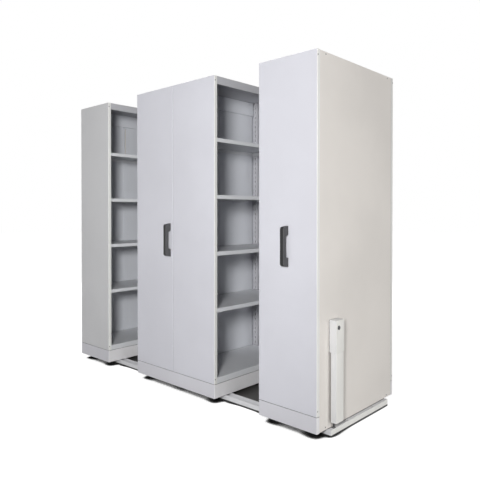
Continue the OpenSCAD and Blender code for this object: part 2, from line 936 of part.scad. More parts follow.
// The cylinder turns about X; its crank pin works the yoke on top of the bolt
module lock_cylinder() {
    cam_x = lock_x + yoke_x + yoke_t + 2;
    color([0.7, 0.7, 0.71]) translate(shift) translate([0, key_y, key_z]) {
        difference() {
            union() {
                translate([cam_x + cam_t - 1, 0, 0]) rotate([0, 90, 0])
                    cylinder(r = key_r, h = lock_x + lock_out - cam_x - cam_t + 2);
                translate([lock_x + lock_out + clear, 0, 0]) rotate([0, 90, 0])
                    cylinder(r = key_r + key_rim, h = key_proud - clear);
            }
            translate([lock_x + lock_out + key_proud - key_slot_in, -key_slot.y / 2, -key_slot.z / 2])
                cube(key_slot);
        }
        translate([cam_x, 0, 0]) rotate([45, 0, 0]) {
            rotate([0, 90, 0]) cylinder(r = cam_r, h = cam_t);
            translate([0, 0, -crank_half]) cube([cam_t, crank_r, 2 * crank_half]);
            translate([0, crank_r, 0]) rotate([0, 90, 0]) cylinder(r = crank_half, h = cam_t);
            translate([-yoke_t - 3, crank_r, 0]) rotate([0, 90, 0]) cylinder(r = pin_r, h = yoke_t + 4);
        }
    }
}

module floor_bolt() {
    rod_top = key_z - crank_r - rod_drop;
    slot_z = key_z + crank_in;
    slot_half = pin_r + pin_play;
    color([0.3, 0.3, 0.31]) translate(shift) {
        translate([bolt_x, bolt_y, bolt_rest]) cylinder(r = bolt_r, h = rod_top - bolt_rest);
        difference() {
            block([lock_x + yoke_x, bolt_y - yoke_half, rod_top - yoke_lap],
                [lock_x + yoke_x + yoke_t, bolt_y + yoke_reach, slot_z + yoke_wall]);
            block([lock_x + yoke_x - 1, key_y + crank_in - pin_r - 1, slot_z - slot_half],
                [lock_x + yoke_x + yoke_t + 1, key_y + crank_r + pin_r + 1, slot_z + slot_half]);
        }
    }
}

front_track();
rear_track();
running_bars();
end_members();
floor_panel();
track_stops();
levelling_screws();
fixed_plinth();
fixed_front_panel();
fixed_rear_panel();
fixed_posts();
fixed_back_panels();
fixed_side_cover();
fixed_top_panel();
fixed_shelves();
fixed_base_shelf();
fixed_shelf_clips();
fixed_screws();
double_chassis();
double_front_panel_left();
double_front_panel_right();
double_rear_panels();
double_posts();
double_partition();
double_top_panel();
double_shelves_left();
double_shelves_right();
double_base_shelves();
double_shelf_clips();
double_screws();
double_handle();
double_bearings();
double_buffers();
double_axle_left();
double_axle_right();
double_wheels_left();
double_wheels_right();
single_chassis();
single_front_panel();
single_rear_panel();
single_posts();
single_back_panels();
single_side_cover();
single_top_panel();
single_shelves();
single_base_shelf();
single_shelf_clips();
single_screws();
single_handle();
single_bearings();
single_buffers();
single_axle_left();
single_axle_right();
single_wheels_left();
single_wheels_right();
bolt_keeper();
lock_housing();
lock_lower_cover();
lock_cylinder();
floor_bolt();
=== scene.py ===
"""Looks of a compact mobile shelving row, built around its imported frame.

The frame brings every sheet, post, shelf, track and wheel in its place. This script gives each of them a
finish, rounds the turned and pressed parts, and models the moulded handles, the screws and the buffers.
"""
import sys
import json
import logging
import math
from collections.abc import Iterable, Sequence
from dataclasses import dataclass
from enum import Enum

import bmesh
import bpy
from mathutils import Matrix, Vector


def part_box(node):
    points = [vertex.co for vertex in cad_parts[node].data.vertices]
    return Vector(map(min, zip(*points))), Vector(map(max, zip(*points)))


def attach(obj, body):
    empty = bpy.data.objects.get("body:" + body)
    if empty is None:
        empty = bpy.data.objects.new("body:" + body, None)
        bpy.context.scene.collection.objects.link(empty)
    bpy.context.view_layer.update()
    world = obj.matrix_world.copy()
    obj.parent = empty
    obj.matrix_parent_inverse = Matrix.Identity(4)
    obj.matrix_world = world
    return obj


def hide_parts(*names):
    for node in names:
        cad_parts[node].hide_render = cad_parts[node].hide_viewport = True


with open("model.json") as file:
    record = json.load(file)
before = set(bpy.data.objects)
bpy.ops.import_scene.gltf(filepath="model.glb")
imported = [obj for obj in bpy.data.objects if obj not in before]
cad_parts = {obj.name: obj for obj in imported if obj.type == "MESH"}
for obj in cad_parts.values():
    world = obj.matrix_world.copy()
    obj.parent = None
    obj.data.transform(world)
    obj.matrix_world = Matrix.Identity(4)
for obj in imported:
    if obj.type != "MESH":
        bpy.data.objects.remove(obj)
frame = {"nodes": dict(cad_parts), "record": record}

log = logging.getLogger("shelving")

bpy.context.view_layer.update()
MM = 0.001
# Corners nearer than this are welded
WELD = 0.01 * MM
# Places nearer than this count as the same
NEAR = 0.1 * MM
# Where the two front panels of the double carriage meet
SEAM_X = (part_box("double_front_panel_left")[1].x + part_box("double_front_panel_right")[0].x) / 2
# A place off the row, for a finish without a seam
NO_SEAM = 9.0
IMAGE_PX = 480
SENSOR_MM = 36.0

Colour = tuple[float, float, float]
Place = tuple[float, float, float]
Span = tuple[float, float]
Node = bpy.types.Node
Socket = bpy.types.NodeSocket
Sockets = bpy.types.NodeOutputs
Tree = bpy.types.NodeTree
Material = bpy.types.Material
Mesh = bmesh.types.BMesh

WHITE = (1.0, 1.0, 1.0)
WHOLE = (0.0, 1.0)
# The span that most values of a noise fall in
NOISE_SPAN = (0.3, 0.7)


class Slot(Enum):
    """The record's material slots."""

    PANEL = "panel_paint"
    FIXED_PANEL = "fixed_panel_paint"
    FRAME = "frame_paint"
    SHELF = "shelf_paint"
    BACK = "back_paint"
    SIDE = "side_paint"
    PLINTH = "plinth_paint"
    BASE = "base_paint"
    LOCK = "lock_paint"
    BAR = "bar_steel"
    BLACK_STEEL = "black_steel"
    FLOOR_PANEL = "floor_panel"
    ZINC = "zinc"
    SCREW = "screw_steel"
    CAST = "cast_iron"
    RUBBER = "black_rubber"
    HANDLE = "handle_plastic"
    CHROME = "cylinder_chrome"


class Grain(Enum):
    """The way in which a metal was worked, as the stretch of its grain along X, Y and Z."""

    ALONG_X = (0.02, 1.0, 1.0)
    TURNED = (1.0, 0.15, 1.0)
    CAST = (1.0, 1.0, 1.0)


# Node trees


class Graph:
    """A node tree under construction.

    Args:
        tree: The tree that gets the nodes.
    """

    def __init__(self, tree: Tree) -> None:
        """Keeps the tree."""
        self.tree = tree

    def add(self, kind: str, inputs: dict[str, object] | None = None, **settings: object) -> Node:
        """Adds a node.

        Args:
            kind: The node's type.
            inputs: Values, or output sockets to link, for its input sockets.
            settings: Its other properties.

        Returns:
            The new node.
        """
        node = self.tree.nodes.new(kind)
        for key, value in settings.items():
            setattr(node, key, value)
        for key, value in (inputs or {}).items():
            self.feed(node.inputs[key], value)
        return node

    def feed(self, socket: Socket, value: object) -> None:
        """Links an output to an input socket, or gives the socket its value.

        Args:
            socket: The input socket.
            value: An output socket, a number, or a colour without its alpha.
        """
        if isinstance(value, Socket):
            self.tree.links.new(value, socket)
        elif socket.type == "RGBA":
            socket.default_value = (*value, 1.0)
        else:
            socket.default_value = value

    def noise(self, vector: Socket, scale: object, detail: float) -> Socket:
        """Adds a noise texture and returns its value."""
        node = self.add("ShaderNodeTexNoise", {"Vector": vector, "Scale": scale, "Detail": detail})
        return node.outputs["Fac"]

    def spread(self, value: Socket, span: Span, to: Span = WHOLE) -> Socket:
        """Maps a value smoothly from one span to another.

        Args:
            value: The value.
            span: Where it starts and ends.
            to: What its start and its end become.

        Returns:
            The new value.
        """
        node = self.add("ShaderNodeMapRange", {
            "Value": value, "From Min": span[0], "From Max": span[1], "To Min": to[0], "To Max": to[1],
        }, interpolation_type="SMOOTHSTEP")
        return node.outputs["Result"]

    def reckon(self, operation: str, *values: object) -> Socket:
        """Reckons with one or two values and returns the result."""
        return self.add("ShaderNodeMath", dict(enumerate(values)), operation=operation).outputs[0]

    def times(self, a: object, b: object) -> Socket:
        """Multiplies two values and returns the product."""
        return self.reckon("MULTIPLY", a, b)

    def axis(self, vector: Socket, name: str) -> Socket:
        """Returns a vector's part along one axis."""
        return self.add("ShaderNodeSeparateXYZ", {"Vector": vector}).outputs[name]

    def blend(self, mask: Socket, a: object, b: object) -> Socket:
        """Mixes two colours.

        Args:
            mask: The share of the second colour.
            a: The first colour.
            b: The second colour.

        Returns:
            The mixed colour.
        """
        node = self.add("ShaderNodeMix", data_type="RGBA")
        sockets = [s for s in node.inputs if s.enabled]
        for socket, value in zip(sockets, (mask, a, b)):
            self.feed(socket, value)
        return next(s for s in node.outputs if s.enabled)


@dataclass(frozen=True)
class Effect:
    """A shader group that several finishes share.

    Attributes:
        name: The group's name.
        inputs: Its input sockets, as name and default value. A missing default makes a vector.
        outputs: Its output sockets, as name and whether it is a vector.
    """

    name: str
    inputs: tuple[tuple[str, float | None], ...]
    outputs: tuple[tuple[str, bool], ...]

    def start(self) -> tuple[Graph, Node, Node]:
        """Makes the group with its sockets.

        Returns:
            The group's graph, its input node and its output node.
        """
        tree = bpy.data.node_groups.new(self.name, "ShaderNodeTree")
        for name, default in self.inputs:
            kind = "NodeSocketVector" if default is None else "NodeSocketFloat"
            socket = tree.interface.new_socket(name, in_out="INPUT", socket_type=kind)
            if default is not None:
                socket.default_value = default
        for name, is_vector in self.outputs:
            kind = "NodeSocketVector" if is_vector else "NodeSocketFloat"
            tree.interface.new_socket(name, in_out="OUTPUT", socket_type=kind)
        graph = Graph(tree)
        return graph, graph.add("NodeGroupInput"), graph.add("NodeGroupOutput")


PEEL = Effect("powder_peel", (("Vector", None), ("Cell", 500.0)),
              (("Height", False), ("Tint", False), ("Gloss", False)))
# Edges get lighter: partly rubbing, partly a painted highlight along the folds
WEAR_AND_SHEEN = Effect("edge_wear_and_sheen", (("Vector", None), ("Radius", 0.001)), (("Mask", False), ("Normal", True)))
SCUFF = Effect("floor_scuffs", (("Vector", None), ("Top", 0.1)), (("Mask", False),))
# Painted light: the faces that look along the row get a lighter colour
SIDE_LIGHT = Effect("painted_side_light", (("Vector", None), ("Reach", 0.5), ("Seam", NO_SEAM), ("Keep", 0.02)),
              (("Mask", False),))
CREVICE_SHADE = Effect("painted_crevice_shade", (("Depth", 0.01),), (("Mask", False),))
FOOT_SHADOW = Effect("painted_foot_shadow", (("Vector", None), ("Top", 0.01)), (("Mask", False),))
BRUSH = Effect("metal_grain", (("Vector", None), ("Cell", 900.0)), (("Height", False), ("Gloss", False)))


# Rays that find a rounded edge, and rays that find the joints and corners that get painted shade
EDGE_RAYS = 4
CREVICE_SHADE_RAYS = 8
# Cosines of the bend at which the rubbing and the painted highlight of an edge start and are full
WEAR_AND_SHEEN_BEND = (0.97, 0.72)
# Where the rubbed patches start and end in their noise, and how much they leave of the rubbing and the
# painted highlight
WEAR_AND_SHEEN_PATCHES = (0.35, 0.65)
WEAR_AND_SHEEN_LEFT = (0.25, 1.0)
# The same for shoe marks in the dust
MARKS = (0.4, 0.75)
MARKS_LEFT = (0.15, 1.0)
# Shares of the painted shadow's height between which it fades out
FOOT_FADE = (1.1, 0.8)
# Shares of open sky at which the painted shade of a joint or corner starts and is full
CREVICE_SHADE_SKY = (0.6, 0.3)


class Effects:
    """Builds each shared shader group once."""

    def __init__(self) -> None:
        """Builds the groups."""
        self.trees = {
            PEEL.name: self.powder_peel(),
            WEAR_AND_SHEEN.name: self.edge_wear_and_sheen(),
            SCUFF.name: self.floor_scuffs(),
            SIDE_LIGHT.name: self.painted_side_light(),
            CREVICE_SHADE.name: self.painted_crevice_shade(),
            FOOT_SHADOW.name: self.painted_foot_shadow(),
            BRUSH.name: self.metal_grain(),
        }

    @staticmethod
    def powder_peel() -> Tree:
        """Builds the orange peel of a powder coat, with its slow changes of tone and of gloss.

        Returns:
            The group.
        """
        graph, inputs, outputs = PEEL.start()
        vector = inputs.outputs["Vector"]
        graph.feed(outputs.inputs["Height"], graph.noise(vector, scale=inputs.outputs["Cell"], detail=2.0))
        tint = graph.noise(vector, scale=1.7, detail=4.0)
        graph.feed(outputs.inputs["Tint"], graph.spread(tint, NOISE_SPAN))
        gloss = graph.noise(vector, scale=9.0, detail=5.0)
        graph.feed(outputs.inputs["Gloss"], graph.spread(gloss, NOISE_SPAN))
        return graph.tree

    @staticmethod
    def edge_wear_and_sheen() -> Tree:
        """Builds a mask along sharp edges, for rubbing and a painted highlight, and the normal that rounds
        them.

        Returns:
            The group.
        """
        graph, inputs, outputs = WEAR_AND_SHEEN.start()
        bevel = graph.add("ShaderNodeBevel", {"Radius": inputs.outputs["Radius"]}, samples=EDGE_RAYS)
        rounded = bevel.outputs["Normal"]
        flat = graph.add("ShaderNodeNewGeometry").outputs["True Normal"]
        dot = graph.add("ShaderNodeVectorMath", {0: rounded, 1: flat}, operation="DOT_PRODUCT")
        bend = graph.spread(dot.outputs["Value"], WEAR_AND_SHEEN_BEND)
        noise = graph.noise(inputs.outputs["Vector"], scale=22.0, detail=5.0)
        patches = graph.spread(noise, WEAR_AND_SHEEN_PATCHES, WEAR_AND_SHEEN_LEFT)
        graph.feed(outputs.inputs["Mask"], graph.times(bend, patches))
        graph.feed(outputs.inputs["Normal"], rounded)
        return graph.tree

    @staticmethod
    def floor_scuffs() -> Tree:
        """Builds dust and shoe marks, which thin out with height above the floor.

        Returns:
            The group.
        """
        graph, inputs, outputs = SCUFF.start()
        vector = inputs.outputs["Vector"]
        share = graph.reckon("DIVIDE", graph.axis(vector, "Z"), inputs.outputs["Top"])
        low = graph.spread(share, (1.0, 0.0))
        marks = graph.spread(graph.noise(vector, scale=14.0, detail=6.0), MARKS, MARKS_LEFT)
        graph.feed(outputs.inputs["Mask"], graph.times(low, marks))
        return graph.tree

    @staticmethod
    def painted_side_light() -> Tree:
        """Builds a mask of the faces that look along the row, save those at a seam between two panels, for
        a lighter colour that paints the light on these faces.

        Returns:
            The group.
        """
        graph, inputs, outputs = SIDE_LIGHT.start()
        normal = graph.add("ShaderNodeNewGeometry").outputs["True Normal"]
        turned = graph.reckon("ABSOLUTE", graph.axis(normal, "X"))
        along = graph.axis(inputs.outputs["Vector"], "X")
        off_seam = graph.reckon("SUBTRACT", along, inputs.outputs["Seam"])
        looks_along = graph.reckon("GREATER_THAN", turned, inputs.outputs["Reach"])
        clear = graph.reckon("GREATER_THAN", graph.reckon("ABSOLUTE", off_seam), inputs.outputs["Keep"])
        graph.feed(outputs.inputs["Mask"], graph.times(looks_along, clear))
        return graph.tree

    @staticmethod
    def painted_foot_shadow() -> Tree:
        """Builds a mask over the painted shadow along the floor.

        Returns:
            The group.
        """
        graph, inputs, outputs = FOOT_SHADOW.start()
        share = graph.reckon("DIVIDE", graph.axis(inputs.outputs["Vector"], "Z"), inputs.outputs["Top"])
        graph.feed(outputs.inputs["Mask"], graph.spread(share, FOOT_FADE))
        return graph.tree

    @staticmethod
    def painted_crevice_shade() -> Tree:
        """Builds a mask of joints, corners and closed sections, where a dark colour paints their shade.

        Returns:
            The group.
        """
        graph, inputs, outputs = CREVICE_SHADE.start()
        depth = inputs.outputs["Depth"]
        open_sky = graph.add("ShaderNodeAmbientOcclusion", {"Distance": depth}, samples=CREVICE_SHADE_RAYS)
        graph.feed(outputs.inputs["Mask"], graph.spread(open_sky.outputs["AO"], CREVICE_SHADE_SKY))
        return graph.tree

    @staticmethod
    def metal_grain() -> Tree:
        """Builds the fine lines of a worked metal, and its patches of duller gloss.

        Returns:
            The group.
        """
        graph, inputs, outputs = BRUSH.start()
        vector = inputs.outputs["Vector"]
        graph.feed(outputs.inputs["Height"], graph.noise(vector, scale=inputs.outputs["Cell"], detail=3.0))
        gloss = graph.noise(vector, scale=30.0, detail=4.0)
        graph.feed(outputs.inputs["Gloss"], graph.spread(gloss, NOISE_SPAN))
        return graph.tree


# Finishes

DUST = (0.30, 0.29, 0.27)
# The colour of the painted shadow along the floor
FOOT_SHADOW_COLOUR = (0.03, 0.03, 0.03)
# The painted shade in joints, corners and closed sections
PAINTED_SHADE = (0.02, 0.02, 0.02)
# No paint throws back more of the light than this
PALEST = 0.95


def scaled(colour: Colour, by: float) -> Colour:
    """Returns a colour made lighter or darker."""
    return tuple(min(PALEST, c * by) for c in colour)


class Surface(Graph):
    """A material under construction, with the shared effects at hand.

    Args:
        slot: The slot that it is named after.
        effects: The shared effects.
    """

    def __init__(self, slot: Slot, effects: Effects) -> None:
        """Starts the material."""
        self.material = bpy.data.materials.new(slot.value)
        self.material.use_nodes = True
        super().__init__(self.material.node_tree)
        self.effects = effects
        self.shader = self.tree.nodes["Principled BSDF"].inputs
        self.coords = self.add("ShaderNodeTexCoord").outputs["Object"]

    def place(self, effect: Effect, inputs: dict[str, object]) -> Sockets:
        """Places a shared group with its values and returns its outputs."""
        return self.add("ShaderNodeGroup", inputs, node_tree=self.effects.trees[effect.name]).outputs

    def tones(self, mask: Socket, colour: Colour, tone: Span) -> Socket:
        """Lets a colour wander between two shares of itself."""
        return self.blend(mask, scaled(colour, tone[0]), scaled(colour, tone[1]))


@dataclass(frozen=True)
class Finish:
    """What all finishes have in common.

    Attributes:
        slot: The slot that it finishes.
        colour: Its colour.
        rough: Its roughness.
        cell: How fine its grain is, in bumps or lines to the metre.
        relief: The strength of its grain.
        pit: Depth of its grain, in metres.
        tone: The shares between which the level of its colour wanders.
        edge: How strongly its folds and touched edges show, as rubbing and as a painted highlight.
        worn_and_lit: How many times lighter these are.
        fold: Radius that its edges show, in metres.
        lines: The span of its noise over which its roughness wanders.
        uneven: How far its roughness wanders down and up.
    """

    slot: Slot
    colour: Colour
    rough: float = 0.42
    cell: float = 520.0
    relief: float = 0.12
    pit: float = 0.25 * MM
    tone: Span = (0.965, 1.03)
    edge: float = 0.1
    worn_and_lit: float = 1.25
    fold: float = 1.4 * MM
    lines: Span = WHOLE
    uneven: Span = (-0.02, 0.03)

    def worn_and_lit_edges(self, surface: Surface, wear_and_sheen: Sockets, body: Socket) -> Socket:
        """Lightens a colour along the edges, as rubbing and as a painted highlight."""
        edges = surface.times(wear_and_sheen["Mask"], self.edge)
        return surface.blend(edges, body, scaled(self.colour, self.worn_and_lit))

    def close(self, surface: Surface, body: Socket, gloss: Socket, height: Socket,
              normal: Socket) -> Material:
        """Feeds the shader of a material.

        Args:
            surface: The material under construction.
            body: Its colour.
            gloss: The noise over which its roughness wanders.
            height: The height of its grain.
            normal: The rounded normal of its edges.

        Returns:
            The material.
        """
        smooth, dull = self.uneven
        rough = surface.spread(gloss, self.lines, (self.rough + smooth, self.rough + dull))
        relief = surface.add("ShaderNodeBump", {
            "Height": height, "Normal": normal, "Strength": self.relief, "Distance": self.pit,
        })
        surface.feed(surface.shader["Base Color"], body)
        surface.feed(surface.shader["Roughness"], rough)
        surface.feed(surface.shader["Normal"], relief.outputs["Normal"])
        return surface.material


@dataclass(frozen=True)
class PowderCoat(Finish):
    """A baked powder coat on sheet steel.

    Attributes:
        lit_side_colour: The lighter colour of its faces that look along the row, a painted light on the
            faces the lamps fall on, where it has one.
        scuffs: How dusty it is near the floor.
        scuff_top: How high the dust reaches, in metres.
        depth: How far from a joint or corner its painted shade reaches, in metres.
        foot: How high the painted shadow along the floor reaches, in metres.
        shine: The level of its clear reflections.
    """

    lit_side_colour: Colour | None = None
    scuffs: float = 0.0
    scuff_top: float = 0.16
    depth: float = 8.0 * MM
    foot: float = 0.0
    shine: float = 0.25

    def build(self, effects: Effects) -> Material:
        """Builds the coat.

        Args:
            effects: The shared effects.

        Returns:
            The material.
        """
        coat = Surface(self.slot, effects)
        peel = coat.place(PEEL, {"Vector": coat.coords, "Cell": self.cell})
        wear_and_sheen = coat.place(WEAR_AND_SHEEN, {"Vector": coat.coords, "Radius": self.fold})
        body = coat.tones(peel["Tint"], self.colour, self.tone)
        if self.lit_side_colour:
            # Painted light: a lighter colour on the faces that look along the row
            folds = coat.place(SIDE_LIGHT, {"Vector": coat.coords, "Seam": SEAM_X})
            body = coat.blend(folds["Mask"], body, self.lit_side_colour)
        body = self.worn_and_lit_edges(coat, wear_and_sheen, body)
        if self.scuffs:
            dust = coat.place(SCUFF, {"Vector": coat.coords, "Top": self.scuff_top})
            body = coat.blend(coat.times(dust["Mask"], self.scuffs), body, DUST)
        # Painted shade in joints, corners and closed sections
        crevice_mask = coat.place(CREVICE_SHADE, {"Depth": self.depth})
        body = coat.blend(crevice_mask["Mask"], body, PAINTED_SHADE)
        # Painted shadow along the floor
        if self.foot:
            foot_shadow_mask = coat.place(FOOT_SHADOW, {"Vector": coat.coords, "Top": self.foot})
            body = coat.blend(foot_shadow_mask["Mask"], body, FOOT_SHADOW_COLOUR)
        coat.feed(coat.shader["Specular IOR Level"], self.shine)
        return self.close(coat, body, peel["Gloss"], peel["Height"], wear_and_sheen["Normal"])


@dataclass(frozen=True)
class WorkedMetal(Finish):
    """A bare, plated or cast metal.

    Attributes:
        grain: How it was worked.
        metallic: How metallic it is.
    """

    cell: float = 900.0
    relief: float = 0.15
    pit: float = 0.15 * MM
    tone: Span = (0.85, 1.1)
    edge: float = 0.5
    worn_and_lit: float = 1.5
    fold: float = 0.7 * MM
    lines: Span = (0.25, 0.75)
    uneven: Span = (-0.08, 0.08)
    grain: Grain = Grain.CAST
    metallic: float = 1.0

    def build(self, effects: Effects) -> Material:
        """Builds the metal.

        Args:
            effects: The shared effects.

        Returns:
            The material.
        """
        metal = Surface(self.slot, effects)
        stretched = metal.add("ShaderNodeMapping", {"Vector": metal.coords, "Scale": self.grain.value})
        grain = metal.place(BRUSH, {"Vector": stretched.outputs["Vector"], "Cell": self.cell})
        wear_and_sheen = metal.place(WEAR_AND_SHEEN, {"Vector": metal.coords, "Radius": self.fold})
        body = self.worn_and_lit_edges(metal, wear_and_sheen, metal.tones(grain["Gloss"], self.colour, self.tone))
        metal.feed(metal.shader["Metallic"], self.metallic)
        return self.close(metal, body, grain["Height"], grain["Height"], wear_and_sheen["Normal"])


@dataclass(frozen=True)
class Moulding(Finish):
    """A moulded plastic, rubber or laminate with a fine spark-eroded grain.

    Attributes:
        lit_side_colour: The lighter colour of its faces that look along the row, a painted light on the
            faces the lamps fall on, where it has one.
        shine: The level of its clear reflections.
    """

    cell: float = 1400.0
    relief: float = 0.2
    pit: float = 0.2 * MM
    tone: Span = (0.9, 1.12)
    edge: float = 0.3
    worn_and_lit: float = 1.9
    fold: float = 2.0 * MM
    uneven: Span = (-0.06, 0.06)
    lit_side_colour: Colour | None = None
    shine: float = 0.5

    def build(self, effects: Effects) -> Material:
        """Builds the moulded surface.

        Args:
            effects: The shared effects.

        Returns:
            The material.
        """
        skin = Surface(self.slot, effects)
        peel = skin.place(PEEL, {"Vector": skin.coords, "Cell": self.cell})
        wear_and_sheen = skin.place(WEAR_AND_SHEEN, {"Vector": skin.coords, "Radius": self.fold})
        body = skin.tones(peel["Gloss"], self.colour, self.tone)
        if self.lit_side_colour:
            # Painted light: a lighter colour on the faces that look along the row
            flank_light_mask = skin.place(SIDE_LIGHT, {"Vector": skin.coords})
            body = skin.blend(flank_light_mask["Mask"], body, self.lit_side_colour)
        skin.feed(skin.shader["Specular IOR Level"], self.shine)
        body = self.worn_and_lit_edges(skin, wear_and_sheen, body)
        return self.close(skin, body, peel["Gloss"], peel["Height"], wear_and_sheen["Normal"])


# The lighter side colours below are painted light on the faces that look along the row.
FINISHES = (
    PowderCoat(Slot.PANEL, (0.67, 0.67, 0.72), lit_side_colour=(0.85, 0.845, 0.815)),
    PowderCoat(Slot.FIXED_PANEL, (0.645, 0.645, 0.655), lit_side_colour=(0.88, 0.88, 0.85)),
    PowderCoat(Slot.FRAME, (0.54, 0.54, 0.565), depth=26.0 * MM),
    PowderCoat(Slot.SHELF, (0.69, 0.70, 0.72), rough=0.38, lit_side_colour=(0.76, 0.77, 0.79)),
    PowderCoat(Slot.BACK, (0.66, 0.675, 0.71)),
    # Lighter and warmer than the panel paint: the warm light on the closed sides is painted into this
    # colour
    PowderCoat(Slot.SIDE, (0.825, 0.785, 0.74)),
    PowderCoat(Slot.PLINTH, (0.67, 0.665, 0.705), lit_side_colour=(0.86, 0.85, 0.86), scuffs=0.12, depth=12.0 * MM,
               foot=8.0 * MM),
    PowderCoat(Slot.BASE, (0.77, 0.77, 0.79), lit_side_colour=(0.91, 0.905, 0.87), scuffs=0.08, scuff_top=0.06,
               foot=11.0 * MM),
    PowderCoat(Slot.LOCK, (0.74, 0.74, 0.745), rough=0.36, lit_side_colour=(0.88, 0.87, 0.83)),
    WorkedMetal(Slot.BAR, (0.52, 0.53, 0.55), 0.32, grain=Grain.ALONG_X),
    WorkedMetal(Slot.BLACK_STEEL, (0.07, 0.07, 0.075), 0.45, metallic=0.6),
    Moulding(Slot.FLOOR_PANEL, (0.095, 0.092, 0.09), 0.6, cell=700.0, edge=0.15),
    WorkedMetal(Slot.ZINC, (0.55, 0.56, 0.58), 0.36, cell=400.0),
    WorkedMetal(Slot.SCREW, (0.16, 0.16, 0.17), 0.4, grain=Grain.TURNED),
    WorkedMetal(Slot.CAST, (0.22, 0.22, 0.23), 0.55, cell=700.0, relief=0.4, metallic=0.9),
    Moulding(Slot.RUBBER, (0.02, 0.02, 0.02), 0.75, cell=1100.0),
    Moulding(Slot.HANDLE, (0.014, 0.014, 0.015), 0.45, lit_side_colour=(0.085, 0.085, 0.088), shine=0.3),
    WorkedMetal(Slot.CHROME, (0.09, 0.09, 0.095), 0.3, relief=0.05, grain=Grain.TURNED),
)


# Meshes

# Solids are put in order by their middles, in metres with so many digits
ORDER_DIGITS = 5


@dataclass(frozen=True)
class Island:
    """One solid of a node.

    Attributes:
        points: Its corners.
    """

    points: tuple[Vector, ...]

    @property
    def low(self) -> Vector:
        """The lowest corner of its box."""
        return Vector(tuple(min(p[i] for p in self.points) for i in range(3)))

    @property
    def high(self) -> Vector:
        """The highest corner of its box."""
        return Vector(tuple(max(p[i] for p in self.points) for i in range(3)))

    @property
    def middle(self) -> Vector:
        """The middle of its box."""
        return (self.low + self.high) / 2

    def head_side(self, wide: float) -> float:
        """Finds the wide end of a solid that was turned about X.

        Args:
            wide: The least radius of the wide end, in metres.

        Returns:
            1 if the wide end points along +X, and -1 if it points along -X.
        """
        middle = self.middle
        rim = [p.x for p in self.points if math.hypot(p.y - middle.y, p.z - middle.z) > wide]
        return 1.0 if sum(rim) / len(rim) > middle.x else -1.0


def islands(node: str) -> list[Island]:
    """Splits a CAD node into its solids.

    Args:
        node: The node's name.

    Returns:
        Its solids, in order along Z, Y and X.
    """
    bm = bmesh.new()
    bm.from_mesh(frame["nodes"][node].data)
    bmesh.ops.remove_doubles(bm, verts=bm.verts, dist=WELD)
    left = set(bm.verts)
    found = []
    while left:
        stack = [left.pop()]
        group = []
        while stack:
            vert = stack.pop()
            group.append(vert.co.copy())
            for edge in vert.link_edges:
                other = edge.other_vert(vert)
                if other in left:
                    left.remove(other)
                    stack.append(other)
        found.append(Island(tuple(group)))
    bm.free()
    return sorted(found, key=lambda i: tuple(round(c, ORDER_DIGITS) for c in reversed(i.middle)))


def round_off(bm: Mesh, geom: Sequence[object], radius: float, segments: int,
            affect: str = "EDGES") -> None:
    """Rounds edges or corners of a mesh.

    Args:
        bm: The mesh.
        geom: The edges or corners.
        radius: Their new radius, in metres.
        segments: The facets across each of them.
        affect: Says whether they are edges or corners.
    """
    bmesh.ops.bevel(bm, geom=geom, offset=radius, offset_type="OFFSET", segments=segments, profile=0.5,
                    affect=affect, clamp_overlap=True, material=-1)


def lathe(bm: Mesh, profile: Sequence[tuple[float, float]], place: Matrix, steps: int) -> None:
    """Spins a profile into a closed solid of revolution.

    Args:
        bm: The mesh that gets the solid.
        profile: Points as (place along the axis, radius) in metres, which start and end on the axis.
        place: Puts the axis, which is X, in its place.
        steps: The number of facets round the axis.
    """
    verts = [bm.verts.new((along, radius, 0.0)) for along, radius in profile]
    edges = [bm.edges.new(pair) for pair in zip(verts, verts[1:])]
    done = bmesh.ops.spin(bm, geom=verts + edges, cent=(0, 0, 0), axis=(1, 0, 0), dvec=(0, 0, 0),
                          angle=2 * math.pi, steps=steps, use_merge=True, use_normal_flip=False,
                          use_duplicate=False)
    last = [g for g in done["geom_last"] if isinstance(g, bmesh.types.BMVert)]
    ring = dict.fromkeys([v for f in bm.faces if not f.tag for v in f.verts] + last)
    bmesh.ops.remove_doubles(bm, verts=list(ring), dist=WELD)
    fresh = [f for f in bm.faces if not f.tag]
    bmesh.ops.recalc_face_normals(bm, faces=fresh)
    corners = dict.fromkeys(v for f in fresh for v in f.verts)
    bmesh.ops.transform(bm, matrix=place, verts=list(corners))
    for face in fresh:
        face.tag = True


def to_object(bm: Mesh, name: str, smooth: float = 35.0) -> bpy.types.Object:
    """Makes an object of a finished mesh.

    Args:
        bm: The mesh, which is freed.
        name: The object's name.
        smooth: Edges under this angle, in degrees, are shaded smooth.

    Returns:
        The new object, at the origin.
    """
    for face in bm.faces:
        face.smooth = True
    for edge in bm.edges:
        edge.smooth = len(edge.link_faces) == 2 and edge.calc_face_angle(0.0) < math.radians(smooth)
    mesh = bpy.data.meshes.new(name)
    bm.to_mesh(mesh)
    bm.free()
    obj = bpy.data.objects.new(name, mesh)
    bpy.context.scene.collection.objects.link(obj)
    return obj


def rounded_copy(node: str, name: str, radius: float, segments: int = 2,
                 crease: float = 40.0) -> bpy.types.Object:
    """Copies a CAD node, welds the copy and rounds its sharp edges.

    Args:
        node: The node's name.
        name: The new piece's name.
        radius: The radius of its edges, in metres.
        segments: The facets across an edge.
        crease: Edges over this angle, in degrees, are rounded.

    Returns:
        The new piece.
    """
    bm = bmesh.new()
    bm.from_mesh(frame["nodes"][node].data)
    bmesh.ops.remove_doubles(bm, verts=bm.verts, dist=WELD)
    bmesh.ops.dissolve_degenerate(bm, edges=bm.edges, dist=WELD)
    least = math.radians(crease)
    sharp = [e for e in bm.edges if len(e.link_faces) == 2 and e.calc_face_angle(0.0) > least]
    round_off(bm, sharp, radius, segments)
    return to_object(bm, name)


# The workshop that dresses every piece


